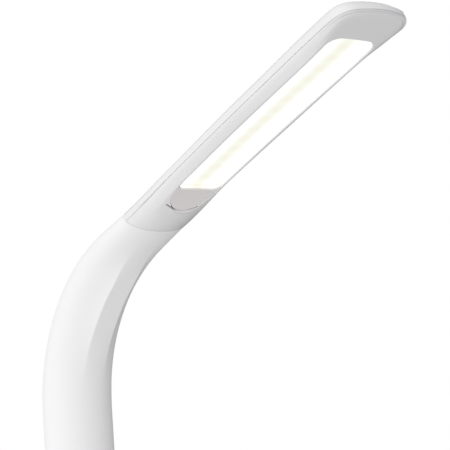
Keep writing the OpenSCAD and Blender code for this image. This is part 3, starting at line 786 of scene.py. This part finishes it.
def unflared(x, y, edge):
    """The width y as it would be on the plain slab."""
    return y * (HALF_W - edge) / (HALF_W - edge + flare(x))


def under_z(x, y):
    return oval_z(unflared(x, y, LOW_EDGE), -1) * (1 - low_share(x)) + low_off(x)


def over_z(x, y):
    k = top_share(x)
    return oval_z(unflared(x, y, TOP_EDGE), 1) * (1 - k) + HEAD_T * k + top_off(x)


def seam_x(z):
    """Where the seam's plane cuts the head, with the trim gap."""
    return -SEAM_CENTRE - (z - LENS_DROP) * SEAM_SLOPE + SEAT_GAP


def tip_outline(count=22, end_count=9):
    """Points and inward directions round the head's tip, from one side to the other."""
    lead = 0.06
    end_turn = math.asin((TIP_HALF_W - TIP_R) / (TIP_BOW_R - TIP_R))
    corner_x = HEAD_LEN - TIP_BOW_R + (TIP_BOW_R - TIP_R) * math.cos(end_turn)
    corner_y = TIP_HALF_W - TIP_R
    turns = np.linspace(-math.pi / 2 - lead, -end_turn, count + 1)
    out = [(corner_x + TIP_R * math.cos(a), -corner_y + TIP_R * math.sin(a), a) for a in turns]
    middle = HEAD_LEN - TIP_BOW_R
    for a in np.linspace(-end_turn, end_turn, end_count)[1:-1]:
        out.append((middle + TIP_BOW_R * math.cos(a), TIP_BOW_R * math.sin(a), a))
    out += [(x, -y, -a) for x, y, a in out[count::-1]]
    return out[0][0], [(x, y, -math.cos(a), -math.sin(a)) for x, y, a in out]


SIDE_END, TIP = tip_outline()
NEAR_STEPS = 12
STATIONS = list(np.arange(X_COMMON, 16, 2.0)) + list(np.linspace(16, SIDE_END - 1.2, 52))


def at_seam(angle, inset, height):
    """(y, z) of a side row where it starts at the seam; the parting groove runs up to there."""
    groove = inset if GROOVE_REACH[0] < height - PART_Z < GROOVE_REACH[1] else 0
    part = math.copysign(GROOVE_OPEN * groove, height - PART_Z)
    return HALF_W * math.cos(angle) - groove, LENS_DROP + SEAM_HALF_T * math.sin(angle) + part


def side_rows(profile, share, skin, tips=None):
    """Rows of points round the head. profile holds (oval angle, inset, height) of each row, and
    tips the (inset, height) that the row turns to at the head's tip."""
    rows = []
    for number, (angle, inset, height) in enumerate(profile):
        oval_y, oval_h = at_seam(angle, inset, height)
        tip_inset, tip_height = tips[number] if tips else (inset, height)
        first = seam_x(oval_h) + SEAM_ROUND
        xs = [first + (X_COMMON - first) * k / NEAR_STEPS for k in range(NEAR_STEPS)] + STATIONS
        xs = np.array(xs)
        ks = share(xs)
        turn = ease(*TIP_BLEND, xs)
        insets = inset + (tip_inset - inset) * turn
        heights = height + (tip_height - height) * turn
        ys = oval_y * (1 - ks) + (HALF_W - insets) * ks + flare(xs)
        zs = oval_h * (1 - ks) + heights * ks + stand_off(xs, heights)
        left = np.column_stack([xs, -ys, zs])
        right = np.column_stack([xs, ys, zs])
        tip = [(x + nx * tip_inset, y + ny * tip_inset, 0.0) for x, y, nx, ny in TIP]
        tip = [(x, y, tip_height + float(stand_off(x, tip_height))) for x, y, _ in tip]
        rows.append(skin.row(np.concatenate([left, tip, right[::-1]])))
    for a, b in zip(rows, rows[1:]):
        skin.join(a, b)
    return rows


def stand_off(x, height):
    """How far a point of the side at this height stands off the plain slab."""
    low = low_off(x) + (part_off(x) - low_off(x)) * height / PART_Z
    high = part_off(x) + (top_off(x) - part_off(x)) * (height - PART_Z) / (HEAD_T - PART_Z)
    return np.where(np.asarray(height) <= PART_Z, low, high)


def seam_lip(skin, row):
    """Rounds the skin's edge at the seam and turns it inwards. row holds (y, z) on the oval."""
    rows = [skin.row([(seam_x(z) + SEAM_ROUND, y, z) for y, z in row])]
    for along, into in ((0.3, 0.13), (0.09, 0.37), (0.0, 0.75), (0.0, 2.6)):
        ring = []
        for y, z in row:
            n = np.array([y / HALF_W**2, (z - LENS_DROP) / SEAM_HALF_T**2])
            n /= np.linalg.norm(n)
            y2, z2 = y - n[0] * into, z - n[1] * into
            ring.append((seam_x(z) + SEAM_ROUND * along, y2, z2))
        rows.append(skin.row(ring))
    for a, b in zip(rows, rows[1:]):
        skin.join(a, b)


def flat_outline(row, skin, sign):
    """Closed loop of the flat zone: a row round the head, then back along the seam."""
    loop = [skin.points[i][:2] for i in row]
    edge_y = abs(loop[-1][1])
    ys = np.linspace(edge_y, -edge_y, 33)[1:-1]
    loop += [(float(seam_x(oval_z(y, sign)) + SEAM_ROUND), float(y)) for y in ys]
    return loop, ys


# The opening for the light panel and the half-moon plate, as one closed loop: half its width
# and its corners' rounds at the panel's near and far end, and how far its far end bows out
LENS_HALF = (19.6, 20.9)
LENS_CORNER = (6.5, 8.5)
LENS_BOW = 1.0
NEAR_SPANS = 12
FAR_SPANS = 10


def lens_half(x):
    return LENS_HALF[0] + (LENS_HALF[1] - LENS_HALF[0]) * x / LENS_L


def far_end(grow, count=12):
    """The light panel's far end, from one side to the other, grown outwards."""
    r = LENS_CORNER[1] + grow
    half = lens_half(LENS_L) + grow
    cx = LENS_L + grow - r
    out = []
    for k in range(count + 1):
        a = -math.pi / 2 + math.pi / 2 * k / count
        out.append((cx + r * math.cos(a), -(half - r) + r * math.sin(a)))
    for k in range(1, FAR_SPANS):
        out.append((cx + r, -(half - r) + 2 * (half - r) * k / FAR_SPANS))
    for k in range(count + 1):
        a = math.pi / 2 * k / count
        out.append((cx + r * math.cos(a), half - r + r * math.sin(a)))
    return [(x - LENS_BOW * (y / half) ** 2 * max(0, min(1, (x - cx) / r)), y) for x, y in out]


def near_end(grow, count=10):
    """The light panel's near end, from one side to the other, grown outwards."""
    r = LENS_CORNER[0] + grow
    half = lens_half(0) + grow
    cx = -grow + r
    out = []
    for k in range(count + 1):
        a = math.pi / 2 + math.pi / 2 * k / count
        out.append((cx + r * math.cos(a), half - r + r * math.sin(a)))
    for k in range(1, NEAR_SPANS):
        out.append((cx - r, half - r - 2 * (half - r) * k / NEAR_SPANS))
    for k in range(count + 1):
        a = math.pi + math.pi / 2 * k / count
        out.append((cx + r * math.cos(a), -(half - r) + r * math.sin(a)))
    return out


SIDE_X = np.linspace(9, LENS_L - 12, 68)


def side_line(sign, grow, xs):
    return [(float(x), sign * (lens_half(x) + grow)) for x in xs]


MOON_POWER = 2.1        # 2 would make the half-moon's end an ellipse


def moon_end(grow, count=60):
    """The half-moon end of the opening, from one side to the other."""
    out = []
    for k in range(count + 1):
        a = math.pi / 2 + math.pi * k / count
        c, s = math.cos(a), math.sin(a)
        x = -(MOON_L + grow) * abs(c) ** (2 / MOON_POWER)
        y = math.copysign((lens_half(0) + grow) * abs(s) ** (2 / MOON_POWER), s)
        out.append((x, y))
    return out


# Slot beside the half-moon's end on each side: its blind end and where it meets the groove
# round the half-moon
SLOT_FROM = (-17.4, 17.2)
SLOT_TO = (-21.9, 7.3)
SLOT_HALF = 0.55
SLOT_STEPS = (0.0, 1.5, 3.1, 4.6, 6.1, 7.7, 9.3)    # along its outer side
SLOT_INNER_STEPS = 4                                # and how many of them its inner side has
SLOT_TAKES = (18, 26)                               # the end's points that it stands in for


def moon_end_with_slots(grow):
    """The half-moon end of the opening with the slot that runs into it on each side."""
    end = moon_end(grow)
    a, b = np.array(SLOT_FROM), np.array(SLOT_TO)
    length = math.dist(a, b)
    way = (b - a) / length
    out = np.array([way[1], -way[0]]) * (SLOT_HALF + grow)
    back = way * (SLOT_HALF + grow)
    first, last = SLOT_TAKES
    slot = [a + way * t - out for t in SLOT_STEPS[:SLOT_INNER_STEPS][::-1]]
    slot += [a - out * math.cos(t) - back * math.sin(t) for t in np.radians((30, 60, 90, 120, 150))]
    slot += [a + way * t + out for t in (*SLOT_STEPS, length)]
    half = end[:first] + [(float(x), float(y)) for x, y in slot] + end[last:len(end) // 2 + 1]
    return half + [(x, -y) for x, y in half[-2::-1]]


def opening(grow):
    xs = np.concatenate([[3, 6], SIDE_X])
    ends = far_end(grow), moon_end_with_slots(grow)
    return side_line(-1, grow, xs) + ends[0] + side_line(1, grow, xs[::-1]) + ends[1]


def lens_loop(grow):
    ends = far_end(grow), near_end(grow)
    return side_line(-1, grow, SIDE_X) + ends[0] + side_line(1, grow, SIDE_X[::-1]) + ends[1]


# How the section of the housing's edge turns along its sides and round its tip: (share of its
# length, angle from flat). TIP_BLEND is where the one goes over to the other.
SIDE_TURNS = ((0.0, 6.0), (0.03, 30.0), (0.1, 38.0), (0.6, 44.0), (1.0, 64.0))
TIP_TURNS = ((0.0, 3.0), (0.06, 8.0), (0.29, 12.0), (0.4, 38.0), (1.0, 68.0))
TIP_BLEND = (160, 189)
SECTION_STEPS = 400
SECTION_ROWS = (
    0, 0.05, 0.12, 0.2, 0.27, 0.3, 0.325, 0.35, 0.375, 0.4, 0.45, 0.53, 0.62, 0.72, 0.82, 0.91, 1,
)
EDGE_ROUND = 0.55       # height of the small round at the parting line


def low_section(turns, rise):
    """(share, inset, height) from the underside's flat up to that height at the side."""
    fine = np.linspace(0, 1, SECTION_STEPS + 1)
    turn = np.radians(np.interp(fine, *zip(*turns)))
    out = np.concatenate([[0], np.cumsum(np.cos(turn[:-1]))])
    up = np.concatenate([[0], np.cumsum(np.sin(turn[:-1]))])
    rows = [int(round(share * SECTION_STEPS)) for share in SECTION_ROWS]
    return [(i / SECTION_STEPS, LOW_EDGE * (1 - out[i] / out[-1]), rise * up[i] / up[-1]) for i in rows]


def turned_in(skin, row):
    """A row inside the shell's edge, so that the edge turns inwards."""
    points = skin.points[row[0]:row[-1] + 1]
    sides = NEAR_STEPS + len(STATIONS)
    ways = [(0, 1)] * sides + [(nx, ny) for _, _, nx, ny in TIP] + [(0, -1)] * sides
    inner = [(x + nx * TURNED_IN, y + ny * TURNED_IN, z) for (x, y, z), (nx, ny) in zip(points, ways)]
    return skin.row(inner)


def lower_housing():
    skin = Skin()
    low_angle = -math.acos((HALF_W - LOW_EDGE) / HALF_W)
    top = PART_Z - PART_GAP
    profile = []
    for share, inset, height in low_section(SIDE_TURNS, top - EDGE_ROUND):
        profile.append((low_angle + (PART_ANGLE - low_angle) * share * 0.85, inset, height))
    tips = [row[1:] for row in low_section(TIP_TURNS, top - EDGE_ROUND)]
    for share, inset, below in (
        (0.9, 0.0, EDGE_ROUND), (0.95, 0.02, 0.36), (0.98, 0.1, 0.16), (0.995, 0.26, 0.04),
        (1.0, 0.45, 0.0),
    ):
        profile.append((low_angle + (PART_ANGLE - low_angle) * share, inset, top - below))
        tips.append((inset, top - below))
    rows = side_rows(profile, low_share, skin, tips)
    loop, ys = flat_outline(rows[0], skin, -1)
    skin.join(rows[-1], turned_in(skin, rows[-1]))
    # the opening's rim: a raised bead along the half-moon's end, rounded into the wall
    rim = np.array(opening(0))
    middle = ease(12.0, 8.0, np.abs(rim[:, 1]))
    bead = ease(-6, -13, rim[:, 0]) * middle
    radius = 0.14 + 0.36 * bead + 0.45 * ease(2, 12, rim[:, 0])
    room = 0.05 + 0.95 * middle
    rings = []
    for beyond, lift in ((1.9, 0.0), (1.4, -0.08), (1.0, -0.3), (0.65, -0.6)):
        rings.append(skin.row(rim_ring(radius + beyond * room, lift * bead, 0)))
    for turn in (0, 18, 36, 54, 72, 90):
        a = math.radians(turn)
        crest = -0.72 * bead * math.cos(a) ** 0.5 if turn < 90 else 0 * bead
        rings.append(skin.row(rim_ring(radius * (1 - math.sin(a)), crest, radius * (1 - math.cos(a)))))
    rings.append(skin.row(rim_ring(0, 0, 2.4)))
    for a, b in zip(rings, rings[1:]):
        skin.join(a, b, closed=True)
    outer = rim_ring(radius + 1.9 * room, 0, 0)[:, :2]
    flat, triangles = fill([loop, outer], [(-52, 16, 1.7), (16, 204, 4.5)])
    skin.patch(flat, triangles, under_z)
    # seam
    start = [at_seam(*row) for row in profile]
    edge = [(-y, z) for y, z in start[::-1]]
    edge += [(float(y), float(oval_z(y, -1))) for y in ys[::-1]] + start
    seam_lip(skin, edge)
    return skin.piece("lower_housing", FINISH["housing"], SHELL_WALL, up=-1)


def rim_ring(grow, lift, drop):
    """The opening's outline grown by each point's own share, on the underside and then lifted."""
    plain = np.array(opening(0))
    wide = np.array(opening(1.0))
    flat = plain + (wide - plain) * np.reshape(grow * np.ones(len(plain)), (-1, 1))
    return np.column_stack([flat, under_z(flat[:, 0], flat[:, 1]) + lift + drop])


def top_cover():
    skin = Skin()
    high_angle = math.acos((HALF_W - TOP_EDGE) / HALF_W)
    profile = []
    base = PART_Z + PART_GAP
    for share, inset, rise in (
        (0.0, 0.72, 0.0), (0.01, 0.5, 0.08), (0.02, 0.38, 0.28), (0.04, 0.3, 0.65),
        (0.08, 0.2, 1.2), (0.12, 0.11, 1.9), (0.16, 0.04, 2.8),
    ):
        profile.append((PART_ANGLE + (high_angle - PART_ANGLE) * share, inset, base + rise))
    for k in range(13):
        a = math.pi / 2 * k / 12
        share = 0.2 + 0.8 * k / 12
        inset, height = TOP_EDGE * (1 - math.cos(a)), HEAD_T - TOP_EDGE * (1 - math.sin(a))
        profile.append((PART_ANGLE + (high_angle - PART_ANGLE) * share, inset, height))
    rows = side_rows(profile, top_share, skin)
    skin.join(turned_in(skin, rows[0]), rows[0])
    loop, ys = flat_outline(rows[-1], skin, 1)
    flat, triangles = fill([loop], [(-80, 16, 2.2), (16, 204, 5.0)])
    skin.patch(flat, triangles, over_z)
    start = [at_seam(*row) for row in profile]
    edge = [(-y, z) for y, z in start]
    edge += [(float(y), float(oval_z(y, 1))) for y in ys[::-1]] + start[::-1]
    seam_lip(skin, edge)
    return skin.piece("top_cover", FINISH["cover"], SHELL_WALL, up=1)


def moon_z(x, y):
    along = np.minimum(x, 0)
    return MOON_SLOPE * along - MOON_CURVE * along**2 + low_off(x)


MOON_GAP = 0.16


def moon_loop(grow):
    """Outline of the half-moon plate; its two horns beside the light panel keep their width."""
    def between(line, reach):
        still, grown = (np.array(line(g)) for g in (-MOON_GAP, grow))
        return still + (grown - still) * np.reshape(reach(still), (-1, 1))

    inner = between(lambda g: near_end(SEAT_GAP - g)[3:-3], lambda p: ease(17, 12, np.abs(p[:, 1])))
    round_end = between(moon_end, lambda p: ease(-1, -6, p[:, 0]))
    sides = [(x, lens_half(x) - MOON_GAP) for x in (3.4, 1.7)]
    mirrored = [(x, -y) for x, y in sides[::-1]]
    return sides + [tuple(p) for p in round_end] + mirrored + [tuple(p) for p in inner[::-1]]


MOON_ROUND = -0.6       # how far in the plate's flat face ends


def half_moon():
    skin = Skin()
    rings = []
    for grow, rise in (
        (MOON_ROUND, 0.0), (-0.42, 0.02), (-0.3, 0.08), (-0.2, 0.22), (-MOON_GAP, 0.45), (-MOON_GAP, 1.4),
    ):
        loop = np.array(moon_loop(grow))
        zs = moon_z(loop[:, 0], loop[:, 1])
        rings.append(skin.row([(x, y, z + rise) for (x, y), z in zip(loop, zs)]))
    for a, b in zip(rings, rings[1:]):
        skin.join(a, b, closed=True)
    flat, triangles = fill([moon_loop(MOON_ROUND)], [(-24, 8, 1.6)])
    skin.patch(flat, triangles, moon_z)
    return skin.piece("half_moon", FINISH["plate"], 0.6, up=-1)


TRAY_FLOOR = -2.4       # how far in the light panel's flat floor ends


def light_panel():
    skin = Skin()
    rings = []
    floor = OPAL_DEPTH
    for grow, z in (
        (-0.2, 2.6), (-0.2, 1.0), (-0.26, 0.85), (-0.4, 0.75), (-0.6, 0.74), (-0.75, 0.85), (-0.8, 1.0),
        (-1.1, floor - 0.9), (-1.25, floor - 0.5), (-1.55, floor - 0.18), (-1.95, floor - 0.04),
        (TRAY_FLOOR, floor),
    ):
        rings.append(skin.row([(x, y, z + low_off(x)) for x, y in lens_loop(grow)]))
    for a, b in zip(rings, rings[1:]):
        skin.join(a, b, closed=True)
    flat, triangles = fill([lens_loop(TRAY_FLOOR)], [(0, LENS_L, 4.0)])
    skin.patch(flat, triangles, lambda x, y: floor + low_off(x))
    panel = skin.piece("light_panel", FINISH["opal"], 0.5, up=-1)
    # how deep each point lies in the tray, for the opal's own light
    depth = panel.data.attributes.new("tray_depth", "FLOAT", "POINT")
    for point, note in zip(panel.data.vertices, depth.data):
        place = np.array(point.co) / MM - HEAD_O
        note.value = (float(place @ ABOVE) - float(low_off(place @ ALONG))) * MM
    return panel


for piece, node, slot_name in (
    (lower_housing(), "head_lower_housing", "white_gloss"),
    (top_cover(), "head_top_cover", "white_gloss"),
    (half_moon(), "half_moon_plate", "white_gloss"),
    (light_panel(), "diffuser", "opal"),
):
    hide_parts(node)
    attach(piece, "light_head")


# ---------------------------------------------------------------- studio

CAMERA_TURN = math.radians(48)
LEFT = np.array([-math.cos(CAMERA_TURN), -math.sin(CAMERA_TURN), 0])
TOWARDS = np.array([math.sin(CAMERA_TURN), -math.cos(CAMERA_TURN), 0])


def camera():
    data = bpy.data.cameras.new("studio camera")
    data.lens = 116
    data.sensor_width = 36
    data.clip_start = 0.05
    view = bpy.data.objects.new("studio camera", data)
    view.location = (0.8708, -0.6805, 0.2835)
    view.rotation_euler = (math.pi / 2, 0, CAMERA_TURN)
    bpy.context.scene.collection.objects.link(view)
    bpy.context.scene.camera = view


# The studio's wide soft glows: the way each comes from (left, up, towards the camera), how fast
# it falls off round to its far side, and its colour
STUDIO_GLOWS = {
    "front": ((0.6, 0.2, 0.8), 0.65, (1.11, 1.11, 1.12)),
    "high back": ((0.3, 1.0, -0.5), 3.0, (0.23, 0.21, 0.22)),
    "table": ((0.1, -1.0, 0.6), 3.0, (0.2, 0.18, 0.17)),
}


def soft_world():
    """White backdrop for the camera; for light, the sum of the studio's wide soft glows."""
    world = bpy.data.worlds.new("soft studio")
    bpy.context.scene.world = world
    world.use_nodes = True
    tree = world.node_tree
    nodes, link = tree.nodes, tree.links.new
    nodes.clear()
    out = nodes.new("ShaderNodeOutputWorld")
    way = nodes.new("ShaderNodeTexCoord").outputs["Generated"]
    total = None
    for (left, up, towards), falloff, colour in STUDIO_GLOWS.values():
        direction = left * LEFT + up * np.array([0, 0, 1]) + towards * TOWARDS
        direction /= np.linalg.norm(direction)
        dot = nodes.new("ShaderNodeVectorMath")
        dot.operation = "DOT_PRODUCT"
        link(way, dot.inputs[0])
        dot.inputs[1].default_value = tuple(direction)
        glow = nodes.new("ShaderNodeVectorMath")
        glow.operation = "SCALE"
        glow.inputs[0].default_value = colour
        share = (Figure(tree, dot.outputs["Value"]) * 0.5 + 0.5).most(0).work("POWER", falloff)
        link(share.socket, glow.inputs["Scale"])
        if total is None:
            total = glow.outputs[0]
            continue
        add = nodes.new("ShaderNodeVectorMath")
        link(total, add.inputs[0])
        link(glow.outputs[0], add.inputs[1])
        total = add.outputs[0]
    soft = nodes.new("ShaderNodeBackground")
    link(total, soft.inputs["Color"])
    white = nodes.new("ShaderNodeBackground")
    white.inputs["Strength"].default_value = 1.0
    white.inputs["Color"].default_value = (1, 1, 1, 1)
    mix = nodes.new("ShaderNodeMixShader")
    link(nodes.new("ShaderNodeLightPath").outputs["Is Camera Ray"], mix.inputs[0])
    link(soft.outputs[0], mix.inputs[1])
    link(white.outputs[0], mix.inputs[2])
    link(mix.outputs[0], out.inputs[0])


FLOOR_SIDES = 64
FLOOR_FADE = (0.16, 0.5)    # metres from the base's middle


def floor():
    """Pale floor round the base that fades out into the plain backdrop."""
    n = FLOOR_SIDES
    turns = [2 * math.pi * k / n for k in range(n)]
    points = [(0, 0, 0)] + [(math.cos(a), math.sin(a), 0) for a in turns]
    ground = new_piece("floor", points, [(0, k + 1, (k + 1) % n + 1) for k in range(n)])
    material = finish("pale floor", (0.9, 0.9, 0.9), 0.7, drift=0.01)
    nodes, link = material.node_tree.nodes, material.node_tree.links.new
    length = nodes.new("ShaderNodeVectorMath")
    length.operation = "LENGTH"
    link(nodes.new("ShaderNodeTexCoord").outputs["Object"], length.inputs[0])
    fade = Figure(material.node_tree, length.outputs["Value"]).eased(*FLOOR_FADE)
    mix = nodes.new("ShaderNodeMixShader")
    link(fade.socket, mix.inputs[0])
    link(nodes["Principled BSDF"].outputs[0], mix.inputs[1])
    link(nodes.new("ShaderNodeBsdfTransparent").outputs[0], mix.inputs[2])
    link(mix.outputs[0], nodes["Material Output"].inputs[0])
    ground.data.materials.append(material)
    ground.visible_diffuse = ground.visible_glossy = ground.visible_shadow = False


camera()
soft_world()
floor()

bpy.context.scene.view_settings.view_transform = "Standard"
